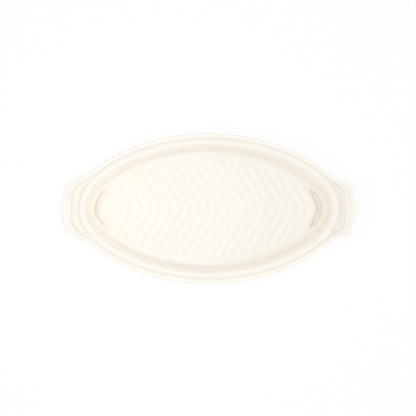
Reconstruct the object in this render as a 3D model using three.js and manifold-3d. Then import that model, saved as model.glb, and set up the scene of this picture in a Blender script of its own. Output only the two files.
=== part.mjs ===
// An oval stoneware baking dish with a ribbed floor and two lug handles, glazed cream all over but its foot.
// Millimetres, +Z up. The origin is on the table under the middle of the dish. +X runs along its length.

import * as THREE from 'three';
import { mergeVertices } from 'three/addons/utils/BufferGeometryUtils.js';
import Module from 'manifold-3d';

const { degToRad, lerp, smoothstep } = THREE.MathUtils;
const wasm = await Module();
wasm.setup();

// Crest: the ridge round the top, which the rest of the plan is measured from
const crestLength = 353.6;
const crestWidth = 185.4;
const shoulderPinch = 0.022; // share by which the oval draws in between its ends and its sides
const dishHeight = 51; // table to crest
const crestRadius = 4.5;

// Inside
const floorHeight = 12.5; // table to the tops of the ribs
const sideLean = 7.8; // degrees that the wall leans out from upright along the sides
const endLean = 11; // and at the two ends
const sideFilletRadius = 6; // where the floor meets the wall along the sides
const endFilletRadius = 18; // and at the two ends
const leanSpread = 2; // the higher these two are, the closer to the ends the change is
const filletSpread = 8;

// Herringbone field of the floor
const fieldEndMargin = 14; // crest to field at the two ends
const fieldSideMargin = 20.5; // crest to field at the two sides
const ribPitch = 13.93; // along the dish
const ribAngle = 60; // degrees between a rib and the length of the dish
const ribFullness = 6; // the higher it is, the wider the ribs and the narrower the valleys
const valleyDepth = 1.25;

// Pockets at the two ends of the field: a sharp one at +X, past the last rib, and one at -X that slopes up
const pocketWidth = 8.2; // along the dish, from the last rib to the end of the field
const pocketAngle = 65; // degrees between the edge of the sharp pocket and the length of the dish
const pocketRamp = 15; // length of the slope
const pocketRampSag = 2; // above 1 the slope is hollow, and steepest at the edge of the field
const pocketBendHalfWidth = 20; // where their arms start to run out
const pocketHalfWidth = 31; // and where the arms end
const pocketDepth = 6;

// Rim outside the crest
const grooveReach = 6; // crest to the foot of the lip
const grooveDepth = 4; // crest top to groove
const lipReach = 12; // crest to the outer edge
const lipDrop = 1.5; // crest top to lip top
const lipThickness = 6.5;
const lipRoundDrop = 1; // lip top to the start of its rounded edge
const lipEdgeDrop = 2.6; // lip top to its outermost line
const lipFilletDrop = 3; // lip underside to the plain wall below it

// Outer wall, base and foot ring
const wallThickness = 6.7;
const heelRadius = 12;
const footHeight = 2.5;
const footSetBack = 2; // heel to foot ring
const footWidth = 6;
const footTaper = 0.5; // each side of the foot draws in this much on its way down

// Handles
const handleStart = 35; // degrees round the oval at which the rim runs straight on into a handle
const handleReach = 29.2; // crest to the outer edge of a handle
const handleWidth = 72; // across its corners
const handleBow = 6.5; // its middle stands out this far past its corners
const handleFlat = 12; // straight stretch in the middle of its outer edge
const handleTaper = 13.3; // degrees that its sides draw in
const handleRootRadius = 40;
const handleCornerRadius = 11;
const handleEndRadius = 60;
const gripBarWidth = 15.6;
const gripBarDip = 1.6; // shallow channel along the top of the bar
const gripBarThickness = 8.5;
const recessDepth = 8; // crest top to the bottom of the scoop
const recessCornerRadius = 20;
const handleHaunch = 4; // the underside drops this much from the bar to the wall

// Section from crest to outer edge: how far along its stretch each line of it lies
const crestFlankAngle = 52; // degrees above level at which the crest gives way to the groove
const flankBend = 0.5; // crest flank to recess
const flankSag = 0.5; // share of the drop into the groove that is done by then
const scoopBend = 0.22; // the same two in the middle of a handle
const scoopSag = 0.75;
const grooveLine = 0.95; // crest flank to recess
const lipFootRise = 0.5; // share of the rise from groove to lip top that the foot of the lip has
const lipInnerLine = 0.2; // these run from the recess to the outer edge
const barInnerLine = 0.12; // the same in the middle of a handle
const lipMiddleLine = 0.4;
const lipOuterLine = 0.56;
const lipRoundLine = 0.95;
const lipUnderLine = 0.85;
const lipFilletLine = 0.2; // wall to outer edge

// Joints in the clay and coats of glaze
const handleSeatReach = 4.2; // crest to the face that a handle is luted to
const handleSeatEnd = 31; // degrees round the oval at which that face stops
const slipGap = 0.3;
const glazeThickness = 0.5;
const bondGap = 0.05; // between glaze and clay

// Columns of faces round the plan, and steps of the rounded stretches
const handleColumns = 20;
const sideColumns = 10;
const filletSteps = 3;
const innerCrestSteps = 2;
const outerCrestSteps = 2;
const heelSteps = 2;
const ribSteps = 6;
const rampSteps = 3;
const ovalSteps = 64;

const crestEnd = crestLength / 2;
const handleEnd = crestEnd + handleReach;
const lipTop = dishHeight - lipDrop;

function ovalPoint(halfLength, halfWidth, angle) {
  const draw = 1 - shoulderPinch * Math.sin(2 * angle) ** 2;
  return new THREE.Vector2(halfLength * Math.cos(angle) * draw, halfWidth * Math.sin(angle) * draw);
}

function crestPoint(angle) {
  return ovalPoint(crestEnd, crestWidth / 2, angle);
}

// Direction of the crest line, anticlockwise
function crestTangent(angle) {
  const sliver = 1e-4;
  return crestPoint(angle + sliver).sub(crestPoint(angle - sliver)).normalize();
}

function crestNormal(angle) {
  const tangent = crestTangent(angle);
  return new THREE.Vector2(tangent.y, -tangent.x);
}

function outside(angle, reach) {
  return crestPoint(angle).addScaledVector(crestNormal(angle), reach);
}

function crossing(pointA, alongA, pointB, alongB) {
  const apart = pointB.clone().sub(pointA);
  const distance = apart.cross(alongB) / alongA.cross(alongB);
  return pointA.clone().addScaledVector(alongA, distance);
}

// A path of straight stretches whose corners are rounded, each by its own radius
function roundedPath(corners) {
  const path = new THREE.Path();
  path.moveTo(corners[0].point.x, corners[0].point.y);
  for (let i = 1; i < corners.length - 1; i += 1) {
    const { point, radius } = corners[i];
    const back = corners[i - 1].point.clone().sub(point);
    const ahead = corners[i + 1].point.clone().sub(point);
    const turn = Math.PI - Math.abs(back.angleTo(ahead));
    const limit = Math.min(back.length(), ahead.length()) / 2;
    const cut = Math.min(radius * Math.tan(turn / 2), limit);
    const start = point.clone().addScaledVector(back.normalize(), cut);
    const end = point.clone().addScaledVector(ahead.normalize(), cut);
    path.lineTo(start.x, start.y);
    path.quadraticCurveTo(point.x, point.y, end.x, end.y);
  }
  const last = corners[corners.length - 1].point;
  path.lineTo(last.x, last.y);
  return path;
}

// Both halves of a path round the +X handle, from its corners with y above 0, given from the tip out
function handlePath(upperCorners) {
  const lowerCorners = upperCorners.map(({ point, radius }) => ({
    point: new THREE.Vector2(point.x, -point.y),
    radius,
  }));
  return roundedPath([...lowerCorners.reverse(), ...upperCorners]);
}

const startAngle = degToRad(handleStart);

function handleEdgePath() {
  const taper = degToRad(handleTaper);
  const start = outside(startAngle, lipReach);
  const corner = new THREE.Vector2(handleEnd - handleBow, handleWidth / 2);
  const side = new THREE.Vector2(-Math.cos(taper), Math.sin(taper));
  const root = crossing(corner, side, start, crestTangent(startAngle));
  return handlePath([
    { point: new THREE.Vector2(handleEnd, handleFlat / 2), radius: handleEndRadius },
    { point: corner, radius: handleCornerRadius },
    { point: root, radius: handleRootRadius },
    { point: start },
  ]);
}

function recessPath() {
  const start = outside(startAngle, grooveReach);
  const barSide = new THREE.Vector2(handleEnd - gripBarWidth, 0);
  const acrossHandle = new THREE.Vector2(0, 1);
  const corner = crossing(barSide, acrossHandle, start, crestTangent(startAngle));
  return handlePath([{ point: corner, radius: recessCornerRadius }, { point: start }]);
}

// The +X handle and the +Y side: crest, the recess or groove and the outer edge at each column of faces
function halfOfColumns() {
  const recess = recessPath().getSpacedPoints(handleColumns);
  const edge = handleEdgePath().getSpacedPoints(handleColumns);
  const columns = [];
  for (let i = 0; i < handleColumns; i += 1) {
    const angle = startAngle * ((2 * i) / handleColumns - 1);
    columns.push({ angle, recess: recess[i], edge: edge[i] });
  }
  for (let i = 0; i < sideColumns; i += 1) {
    const angle = startAngle + ((Math.PI - 2 * startAngle) * i) / sideColumns;
    columns.push({ angle, recess: outside(angle, grooveReach), edge: outside(angle, lipReach) });
  }
  return columns;
}

// The dish looks the same when it is turned half way round
function turned({ angle, recess, edge }) {
  return { angle: angle + Math.PI, recess: recess.clone().negate(), edge: edge.clone().negate() };
}

const half = halfOfColumns();
const columns = [...half, ...half.map(turned)];

// How far a column is into a handle: 0 along the sides, 1 in the middle of the scoop
const widestRecess = handleReach - gripBarWidth - grooveReach;

function handleShare({ angle, recess }) {
  const extra = recess.distanceTo(crestPoint(angle)) - grooveReach;
  return smoothstep(extra / widestRecess, 0, 1);
}

// Angle that the wall leans out from upright, which grows from the sides to the ends
function leanAt(angle) {
  return degToRad(lerp(sideLean, endLean, Math.cos(angle) ** leanSpread));
}

function filletRadiusAt(angle) {
  return lerp(sideFilletRadius, endFilletRadius, Math.cos(angle) ** filletSpread);
}

// A ring of points at a reach outside the crest and a height, which go by the angle round the crest
function ring(reachOf, heightOf) {
  return columns.map(({ angle }) => {
    const point = outside(angle, reachOf(angle));
    return new THREE.Vector3(point.x, point.y, heightOf(angle));
  });
}

// A ring some way from one plan line to another and at a height, which go by the share of a handle there
function ringBetween(lineA, lineB, placeOf, heightOf) {
  return columns.map((column) => {
    const handle = handleShare(column);
    const point = lineA(column).clone().lerp(lineB(column), placeOf(handle));
    return new THREE.Vector3(point.x, point.y, heightOf(handle));
  });
}

const up = () => Math.PI / 2;
const down = () => -Math.PI / 2;
const squareToWall = (angle) => -leanAt(angle);
const backFromWall = (angle) => Math.PI - leanAt(angle);

// Rings round an arc of the wall's section: its turn runs from the outward level, towards up
function arcRings(arc, fromTurn, toTurn, steps) {
  const rings = [];
  for (let i = 0; i <= steps; i += 1) {
    const turn = (angle) => lerp(fromTurn(angle), toTurn(angle), i / steps);
    const reachOnArc = (angle) => arc.reach(angle) + arc.radius(angle) * Math.cos(turn(angle));
    const heightOnArc = (angle) => arc.height(angle) + arc.radius(angle) * Math.sin(turn(angle));
    rings.push(ring(reachOnArc, heightOnArc));
  }
  return rings;
}

// Reach of a line along the wall's lean, set off outward from the middle of the crest
function leaningReach(angle, setOff, height) {
  const lean = leanAt(angle);
  const drop = dishHeight - crestRadius - setOff * Math.sin(lean) - height;
  return setOff * Math.cos(lean) - drop * Math.tan(lean);
}

const outerFace = wallThickness - crestRadius;
const crestSide = degToRad(crestFlankAngle);
const flankReach = crestRadius * Math.cos(crestSide);
const flankHeight = dishHeight - crestRadius + crestRadius * Math.sin(crestSide);

const filletHeight = (angle) => floorHeight + filletRadiusAt(angle);
const filletArc = {
  reach: (angle) => leaningReach(angle, -crestRadius - filletRadiusAt(angle), filletHeight(angle)),
  height: filletHeight,
  radius: filletRadiusAt,
};
const crestArc = {
  reach: () => 0,
  height: () => dishHeight - crestRadius,
  radius: () => crestRadius,
};
const heelHeight = footHeight + heelRadius;
const heelArc = {
  reach: (angle) => leaningReach(angle, outerFace - heelRadius, heelHeight),
  height: () => heelHeight,
  radius: () => heelRadius,
};

const crestFlank = ({ angle }) => outside(angle, flankReach);
const recessLine = ({ recess }) => recess;
const edgeLine = ({ edge }) => edge;
const wallLine = ({ angle }) => outside(angle, leaningReach(angle, outerFace, lipTop - lipThickness));

const bendPlace = (handle) => lerp(flankBend, scoopBend, handle);
const bendSag = (handle) => lerp(flankSag, scoopSag, handle);
const innerPlace = (handle) => lerp(lipInnerLine, barInnerLine, handle);
const rimThickness = (handle) => lerp(lipThickness, gripBarThickness, handle);
const grooveBottom = (handle) => dishHeight - lerp(grooveDepth, recessDepth, handle);
const bendHeight = (handle) => lerp(flankHeight, grooveBottom(handle), bendSag(handle));
const lipFoot = (handle) => lerp(grooveBottom(handle), lipTop, lipFootRise);
const lipMiddle = (handle) => lipTop - gripBarDip * handle;
const lipUnderside = (handle) => lipTop - rimThickness(handle);
const lipFillet = (handle) => lipUnderside(handle) - handleHaunch * handle;

// The finished surface, ring by ring, from the middle of the floor over the rim to the middle of the base
function insideRings() {
  return [
    [new THREE.Vector3(0, 0, floorHeight)],
    ...arcRings(filletArc, down, squareToWall, filletSteps),
    ...arcRings(crestArc, backFromWall, up, innerCrestSteps),
    ...arcRings(crestArc, up, () => crestSide, outerCrestSteps).slice(1),
    ringBetween(crestFlank, recessLine, bendPlace, bendHeight),
    ringBetween(crestFlank, recessLine, () => grooveLine, grooveBottom),
  ];
}

function rimRings() {
  const lipRing = (placeOf, heightOf) => ringBetween(recessLine, edgeLine, placeOf, heightOf);
  return [
    lipRing(() => 0, lipFoot),
    lipRing(innerPlace, () => lipTop),
    lipRing(() => lipMiddleLine, lipMiddle),
    lipRing(() => lipOuterLine, () => lipTop),
    lipRing(() => lipRoundLine, () => lipTop - lipRoundDrop),
    lipRing(() => 1, () => lipTop - lipEdgeDrop),
    lipRing(() => lipUnderLine, lipUnderside),
    ringBetween(wallLine, edgeLine, () => lipFilletLine, lipFillet),
  ];
}

function heelRings() {
  const wallTop = lipTop - gripBarThickness - handleHaunch - lipFilletDrop;
  return [
    ring((angle) => leaningReach(angle, outerFace, wallTop), () => wallTop),
    ...arcRings(heelArc, squareToWall, down, heelSteps),
  ];
}

function footRings() {
  const outer = (angle) => heelArc.reach(angle) - footSetBack;
  const inner = (angle) => outer(angle) - footWidth;
  const top = () => footHeight;
  const bottom = () => 0;
  return {
    outerTop: ring(outer, top),
    outerBottom: ring((angle) => outer(angle) - footTaper, bottom),
    innerBottom: ring((angle) => inner(angle) + footTaper, bottom),
    innerTop: ring(inner, top),
    middle: [new THREE.Vector3(0, 0, footHeight)],
  };
}

const inside = insideRings();
const rim = rimRings();
const heel = heelRings();
const foot = footRings();
const finished = [
  ...inside,
  ...rim,
  ...heel,
  foot.outerTop,
  foot.outerBottom,
  foot.innerBottom,
  foot.innerTop,
  foot.middle,
];
const bareRings = [foot.outerBottom, foot.innerBottom];

const onRing = (points, i) => points[(i + points.length) % points.length];

// Direction out of the surface at a point of a ring
function outwardAt(rings, j, i) {
  if (rings[j].length === 1) {
    return new THREE.Vector3(0, 0, j === 0 ? 1 : -1);
  }
  const across = onRing(rings[j + 1], i).clone().sub(onRing(rings[j - 1], i));
  const along = onRing(rings[j], i + 1).clone().sub(onRing(rings[j], i - 1));
  return across.cross(along).normalize();
}

// The finished surface moved into the clay by a depth, all but the bare bottom of the foot
function sunk(depth) {
  return finished.map((points, j) => {
    if (bareRings.includes(points)) {
      return points;
    }
    return points.map((point, i) => point.clone().addScaledVector(outwardAt(finished, j, i), -depth));
  });
}

// Triangles between two rings, either of which may be a single point. Rings that run back over others
// are split along the other diagonal, so that the two skins stay the same distance apart.
function facesBetween(start, points, nextStart, nextPoints, runsBack) {
  const faces = [];
  const count = Math.max(points.length, nextPoints.length);
  for (let i = 0; i < count; i += 1) {
    const a = start + (i % points.length);
    const b = start + ((i + 1) % points.length);
    const c = nextStart + ((i + 1) % nextPoints.length);
    const d = nextStart + (i % nextPoints.length);
    if (points.length > 1) {
      faces.push(a, runsBack ? c : d, b);
    }
    if (nextPoints.length > 1) {
      faces.push(runsBack ? a : b, d, c);
    }
  }
  return faces;
}

function toSolid(positions, faces) {
  const vertProperties = Float32Array.from(positions);
  const triVerts = Uint32Array.from(faces);
  return new wasm.Manifold(new wasm.Mesh({ numProp: 3, vertProperties, triVerts }));
}

// A closed solid whose skin runs through the rings in turn and from the last back to the first
function solidOfRings(rings, turnsBackAt = rings.length) {
  const positions = rings.flatMap((points) => points.flatMap((point) => point.toArray()));
  const starts = [];
  let total = 0;
  for (const points of rings) {
    starts.push(total);
    total += points.length;
  }
  const faces = rings.flatMap((points, j) => {
    const next = (j + 1) % rings.length;
    return facesBetween(starts[j], points, starts[next], rings[next], j >= turnsBackAt);
  });
  return toSolid(positions, faces);
}

function solidOfGeometry(geometry) {
  geometry.deleteAttribute('normal');
  geometry.deleteAttribute('uv');
  const merged = mergeVertices(geometry);
  return toSolid(merged.getAttribute('position').array, merged.getIndex().array);
}

// Plan of the herringbone field
const fieldHalfLength = crestEnd - fieldEndMargin;
const fieldHalfWidth = crestWidth / 2 - fieldSideMargin;
const farEnd = crestLength; // well past both ends
const fieldTop = floorHeight + endFilletRadius;
const armSlope = 1 / Math.tan(degToRad(ribAngle));

function fieldRing(margin, height) {
  const points = [];
  for (let i = 0; i < ovalSteps; i += 1) {
    const angle = (2 * Math.PI * i) / ovalSteps;
    const point = ovalPoint(fieldHalfLength + margin, fieldHalfWidth + margin, angle);
    points.push(new THREE.Vector3(point.x, point.y, height));
  }
  return points;
}

// A solid through level outlines of the field, from the top down, each let out by a margin of its own
function fieldBlock(levels) {
  const rings = levels.map(({ margin, height }) => fieldRing(margin, height));
  const top = levels[0].height;
  const bottom = levels[levels.length - 1].height;
  return solidOfRings([[new THREE.Vector3(0, 0, top)], ...rings, [new THREE.Vector3(0, 0, bottom)]]);
}

// How far from the middle of the dish the field's outline lies at a distance to one side
function fieldReach(margin, aside) {
  return (fieldHalfLength + margin) * Math.sqrt(1 - (aside / (fieldHalfWidth + margin)) ** 2);
}

// Section of the ribs along the dish, out past both ends of the field
function ribSection() {
  const lastRibEnd = fieldHalfLength - pocketWidth + ribPitch;
  const ribs = Math.ceil((fieldHalfLength + lastRibEnd) / ribPitch);
  const firstRibStart = lastRibEnd - ribs * ribPitch;
  const points = [];
  for (let i = 0; i <= ribs * ribSteps; i += 1) {
    const turn = (Math.PI * i) / ribSteps;
    const height = floorHeight - valleyDepth * Math.abs(Math.cos(turn)) ** ribFullness;
    points.push(new THREE.Vector2(firstRibStart + (ribPitch * i) / ribSteps, height));
  }
  return points;
}

// The space above the ribs, sunk into the clay by a depth
function ribSpace(depth) {
  const section = ribSection();
  const sunkSection = section.map((point, i) => {
    const before = section[Math.max(i - 1, 0)];
    const after = section[Math.min(i + 1, section.length - 1)];
    const along = after.clone().sub(before).normalize();
    return new THREE.Vector2(point.x + along.y * depth, point.y - along.x * depth);
  });
  const valleyFloor = floorHeight - valleyDepth - depth;
  const shape = new THREE.Shape([
    new THREE.Vector2(-farEnd, valleyFloor),
    ...sunkSection,
    new THREE.Vector2(farEnd, valleyFloor),
    new THREE.Vector2(farEnd, fieldTop),
    new THREE.Vector2(-farEnd, fieldTop),
  ]);
  return foldedSpace(shape);
}

// The space over a pocket, down to its deepest level, from the half of its plan with y above 0 and any tip
function pocketSpace(upperPlan, tip, depth) {
  const lowerPlan = upperPlan.map((point) => new THREE.Vector2(point.x, -point.y)).reverse();
  const floor = floorHeight - pocketDepth - depth;
  const shape = new THREE.Shape([...upperPlan, ...tip, ...lowerPlan]);
  const space = new THREE.ExtrudeGeometry(shape, { depth: fieldTop - floor, bevelEnabled: false });
  return solidOfGeometry(space.translate(0, 0, floor));
}

// The pocket past the last rib, whose two arms run out along the edge of the field
function sharpPocketSpace(depth) {
  const bend = pocketBendHalfWidth + depth;
  const end = pocketHalfWidth + depth;
  const tip = new THREE.Vector2(fieldHalfLength - pocketWidth - depth, 0);
  const plan = [
    new THREE.Vector2(farEnd, end),
    new THREE.Vector2(fieldReach(0, end), end),
    new THREE.Vector2(tip.x - bend / Math.tan(degToRad(pocketAngle)), bend),
  ];
  return pocketSpace(plan, [tip], depth);
}

// The pocket that slopes up from the edge of the field
function slopingPocketSpace(depth) {
  const bend = pocketBendHalfWidth + depth;
  const end = pocketHalfWidth + depth;
  const plan = [
    new THREE.Vector2(-fieldReach(-pocketRamp, bend), bend),
    new THREE.Vector2(-fieldReach(0, end), end),
    new THREE.Vector2(-farEnd, end),
  ];
  const slope = [];
  for (let i = 0; i <= rampSteps; i += 1) {
    const share = i / rampSteps;
    const height = floorHeight - depth - pocketDepth * share ** pocketRampSag;
    slope.push({ margin: pocketRamp * (share - 1), height });
  }
  return pocketSpace(plan, [], depth).subtract(fieldBlock(slope));
}

// A section along the dish drawn across it, and folded back into chevrons that point along +X
function foldedSpace(shape) {
  const space = new THREE.ExtrudeGeometry(shape, { depth: crestWidth, steps: 2, bevelEnabled: false });
  space.rotateX(Math.PI / 2);
  space.translate(0, crestWidth / 2, 0);
  const position = space.getAttribute('position');
  for (let i = 0; i < position.count; i += 1) {
    position.setX(i, position.getX(i) - Math.abs(position.getY(i)) * armSlope);
  }
  return solidOfGeometry(space);
}

function herringboneSpace(depth) {
  const space = ribSpace(depth).add(sharpPocketSpace(depth)).add(slopingPocketSpace(depth));
  const field = fieldBlock([
    { margin: depth, height: fieldTop },
    { margin: depth, height: 0 },
  ]);
  return space.intersect(field);
}

// The space of one handle: outside the seat on the rim, let in by a gap
function handleSpace(gap) {
  const seatEnd = degToRad(handleSeatEnd);
  const steps = handleColumns;
  const outline = [];
  for (let i = 0; i <= steps; i += 1) {
    const angle = seatEnd * ((2 * i) / steps - 1);
    const sideways = gap * (1 - (2 * i) / steps);
    const point = outside(angle, handleSeatReach + gap);
    outline.push(point.addScaledVector(crestTangent(angle), sideways));
  }
  const clearOfHandle = crestWidth / 2;
  const clearOfEnd = handleEnd + handleReach;
  const sideEnd = outside(seatEnd, clearOfHandle).addScaledVector(crestTangent(seatEnd), -gap);
  outline.push(
    sideEnd,
    new THREE.Vector2(clearOfEnd, sideEnd.y),
    new THREE.Vector2(clearOfEnd, -sideEnd.y),
    new THREE.Vector2(sideEnd.x, -sideEnd.y),
  );
  const shape = new THREE.Shape(outline.reverse());
  return new THREE.ExtrudeGeometry(shape, { depth: dishHeight, bevelEnabled: false });
}

function bothHandleSpaces(gap) {
  const right = solidOfGeometry(handleSpace(gap));
  const left = solidOfGeometry(handleSpace(gap).rotateZ(Math.PI));
  return { right, left };
}

function clayPieces() {
  const depth = glazeThickness + bondGap;
  const clay = solidOfRings(sunk(depth)).subtract(herringboneSpace(depth));
  const cut = bothHandleSpaces(0);
  const kept = bothHandleSpaces(slipGap);
  return {
    body: clay.subtract(cut.right).subtract(cut.left),
    right: clay.intersect(kept.right),
    left: clay.intersect(kept.left),
  };
}

// A coat of glaze over some of the rings
function coat(firstRing, lastRing) {
  const from = finished.indexOf(firstRing);
  const to = finished.indexOf(lastRing) + 1;
  const under = sunk(glazeThickness);
  return solidOfRings([...finished.slice(from, to), ...under.slice(from, to).reverse()], to - from);
}

function insideCoat() {
  const groove = inside[inside.length - 1];
  const liner = herringboneSpace(glazeThickness).intersect(solidOfRings(finished));
  return coat(inside[0], groove).add(liner).subtract(herringboneSpace(0));
}

function outsideCoat() {
  return coat(inside[inside.length - 1], heel[heel.length - 1]);
}

function undersideCoat() {
  return coat(foot.innerTop, foot.middle);
}

function namedMesh(name, solid, material) {
  const { vertProperties, triVerts } = solid.getMesh();
  const geometry = new THREE.BufferGeometry();
  geometry.setAttribute('position', new THREE.BufferAttribute(new Float32Array(vertProperties), 3));
  geometry.setIndex(new THREE.BufferAttribute(new Uint32Array(triVerts), 1));
  geometry.computeVertexNormals();
  const mesh = new THREE.Mesh(geometry, material);
  mesh.name = name;
  return mesh;
}

const bareClay = () => new THREE.MeshStandardMaterial({ color: 0xd9c9ae, roughness: 0.85, metalness: 0 });
const creamGlaze = () => new THREE.MeshStandardMaterial({ color: 0xf6f1e2, roughness: 0.18, metalness: 0 });

const clay = clayPieces();
const dish = new THREE.Group();
dish.add(
  namedMesh('stoneware_body', clay.body, bareClay()),
  namedMesh('left_handle', clay.left, bareClay()),
  namedMesh('right_handle', clay.right, bareClay()),
  namedMesh('inside_glaze', insideCoat(), creamGlaze()),
  namedMesh('outside_glaze', outsideCoat(), creamGlaze()),
  namedMesh('underside_glaze', undersideCoat(), creamGlaze()),
);

export default dish;
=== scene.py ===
"""The looks of an oval glazed baking dish with a herringbone floor and two lug handles.

The surfaces follow the same sizes as the solids that they replace. They are drawn in millimetres, up to the
meshes that are made of them. The stage round the dish is in metres.
"""

import math

import bpy
import numpy as np
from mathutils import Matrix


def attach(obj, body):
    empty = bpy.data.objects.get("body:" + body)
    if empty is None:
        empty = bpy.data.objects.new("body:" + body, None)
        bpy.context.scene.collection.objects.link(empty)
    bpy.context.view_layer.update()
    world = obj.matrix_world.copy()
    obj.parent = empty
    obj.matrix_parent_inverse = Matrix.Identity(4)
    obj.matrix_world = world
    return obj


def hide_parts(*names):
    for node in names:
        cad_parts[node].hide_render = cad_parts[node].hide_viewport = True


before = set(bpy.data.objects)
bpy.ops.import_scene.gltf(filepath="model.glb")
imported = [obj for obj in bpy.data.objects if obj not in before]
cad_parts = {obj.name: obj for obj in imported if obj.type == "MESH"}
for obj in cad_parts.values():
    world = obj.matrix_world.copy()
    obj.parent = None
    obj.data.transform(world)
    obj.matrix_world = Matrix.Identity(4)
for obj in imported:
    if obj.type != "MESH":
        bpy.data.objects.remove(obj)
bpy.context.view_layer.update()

MM = 0.001

# Crest: the ridge round the top, which the rest of the plan is measured from
CREST_LENGTH = 353.6
CREST_WIDTH = 185.4
SHOULDER_PINCH = 0.022
DISH_HEIGHT = 51.0
CREST_RADIUS = 4.5

# Inside
FLOOR_HEIGHT = 12.5
SIDE_LEAN = math.radians(7.8)
END_LEAN = math.radians(11)
SIDE_FILLET_RADIUS = 6.0
END_FILLET_RADIUS = 18.0
LEAN_SPREAD = 2  # the higher these two are, the closer to the ends the change is
FILLET_SPREAD = 8

# Herringbone field of the floor
FIELD_END_MARGIN = 14.0
FIELD_SIDE_MARGIN = 20.5
FIELD_EDGE_WIDTH = 4.0  # over which the valleys run out at the sides
POCKET_EDGE_WIDTH = 1.8  # of the sharper step into a pocket at the ends
RIB_PITCH = 13.93
RIB_ANGLE = math.radians(60)
RIB_FULLNESS = 6
RIB_APEX_RADIUS = 3.0
VALLEY_DEPTH = 1.25
POCKET_WIDTH = 8.2
POCKET_DEPTH = 6.0
POCKET_ANGLE = math.radians(65)
POCKET_SLOPE_WIDTH = 2.0
POCKET_RAMP = 15.0  # the slope up from the pocket at the -X end
POCKET_RAMP_SAG = 2  # above 1 the slope is hollow, and steepest at the edge of the field
POCKET_BEND_HALF_WIDTH = 20.0  # up to which the pockets are at full depth
POCKET_HALF_WIDTH = 31.0  # where they have run out

# Rim outside the crest
GROOVE_REACH = 6.0
GROOVE_DEPTH = 4.0
LIP_REACH = 12.0
LIP_DROP = 1.5
LIP_THICKNESS = 6.5
LIP_ROUND_DROP = 1.0
LIP_EDGE_DROP = 2.6
LIP_FILLET_DROP = 3.0

# Outer wall, base and foot ring
WALL_THICKNESS = 6.7
HEEL_RADIUS = 12.0
FOOT_HEIGHT = 2.5
FOOT_SET_BACK = 2.0
FOOT_WIDTH = 6.0
FOOT_DRAFT = 0.1  # that the faces of the ring lean in by, halfway down
FOOT_EDGE = ((0.3, 0.6), (0.9, 0.0), (1.8, 0.0))  # lines of its soft edge: how far in, and how high
UNDERSIDE_EDGE = ((-0.25, 0.9), (0.2, 0.5), (1.2, 0.1), (3.0, 0.0))  # of the glaze: how far in, and the drop
UNDERSIDE_SHARES = (0.8, 0.55, 0.3, 0.08)  # rings of the flat base, as shares of its outline

# Handles
HANDLE_START = math.radians(35)  # round the plan, to either side of the end
HANDLE_REACH = 29.2
HANDLE_WIDTH = 72.0
HANDLE_BOW = 6.5  # that its corners lie behind the middle of its end
HANDLE_FLAT = 12.0  # the straight middle of its end
HANDLE_TAPER = math.radians(13.3)
HANDLE_ROOT_RADIUS = 40.0
HANDLE_CORNER_RADIUS = 11.0
HANDLE_END_RADIUS = 60.0
GRIP_BAR_WIDTH = 15.6
GRIP_BAR_DIP = 1.6  # of the channel along the bar
GRIP_BAR_THICKNESS = 8.5
RECESS_DEPTH = 8.0
RECESS_CORNER_RADIUS = 20.0
HANDLE_HAUNCH = 4.0  # that the handle thickens by towards the wall
NOTCH_PLACES = (16.6, 22.8)  # small cross grooves near each end of the bar
NOTCH_WIDTH = 1.3
NOTCH_DEPTH = 1.2
NOTCH_RUN_IN = 3.0  # over which they deepen from the inner side of the bar
CLAY_NOTCH_WIDTH = 4.0  # wider, so that the clay stays clear of the glaze over it

# Section from crest to outer edge: how far along its stretch each line of it lies
CREST_FLANK_ANGLE = math.radians(52)  # where the round of the crest ends, up from level
FLANK_BEND = 0.5
FLANK_SAG = 0.5
SCOOP_BEND = 0.22  # the same two in the middle of a handle
SCOOP_SAG = 0.75
NEAR_GROOVE = 0.75  # from the bend to the groove, where the slope still runs straight
GROOVE_STATION = 2  # place of the groove among the lines of the rim
GROOVE_LINE = 0.95
LIP_FOOT_RISE = 0.5
LIP_INNER_LINE = 0.2
BAR_INNER_LINE = 0.12
RIDGE_WIDTH = 0.08
LIP_MIDDLE_LINE = 0.4
LIP_OUTER_LINE = 0.56
LIP_ROUND_LINE = 0.95
LIP_UNDER_LINE = 0.85
LIP_FILLET_LINE = 0.2

# Joints in the clay and coats of glaze
HANDLE_SEAT_END = math.radians(31)
GLAZE_THICKNESS = 0.5
GLAZE_BOND = 0.05
SEAT_GAP = 0.1  # as a share of the first faces of a handle

# Fineness of the meshes
RIB_STEPS = 8
ARM_STEPS = 22
TIP_STEPS = 10
INSIDE_STEPS = (6, 3, 4, 4)  # fillet, wall, and crest on its two sides
HANDLE_COLUMNS = 160
SIDE_COLUMNS = 80
SPLINE_STEPS = 3
SPLINE_PULL = 1.5  # a lone station draws the smooth surface two thirds of the way to it
HEEL_STEPS = 6
FOOT_SPLINE_STEPS = 2
CORNER_STEPS = 24
FIELD_TABLE_SIZE = 20001
CREST_TABLE_SIZE = 7201
NEAREST_ROUNDS = 4
NEAREST_STEP = 0.8
SLIVER = 1e-4  # the small turn that a direction along the crest is taken over
LEAST_RATIO = 1e-6  # keeps the middle of the field from a division by nothing
SHARP_ANGLE = math.radians(50)

# Worked out from the sizes above
CREST_END = CREST_LENGTH / 2
HANDLE_END = CREST_END + HANDLE_REACH
LIP_TOP = DISH_HEIGHT - LIP_DROP
OUTER_FACE = WALL_THICKNESS - CREST_RADIUS
HEEL_HEIGHT = FOOT_HEIGHT + HEEL_RADIUS
FIELD_HALF_LENGTH = CREST_END - FIELD_END_MARGIN
FIELD_HALF_WIDTH = CREST_WIDTH / 2 - FIELD_SIDE_MARGIN
LAST_RIB_END = FIELD_HALF_LENGTH - POCKET_WIDTH
CLAY_SINK = GLAZE_THICKNESS + GLAZE_BOND

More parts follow.
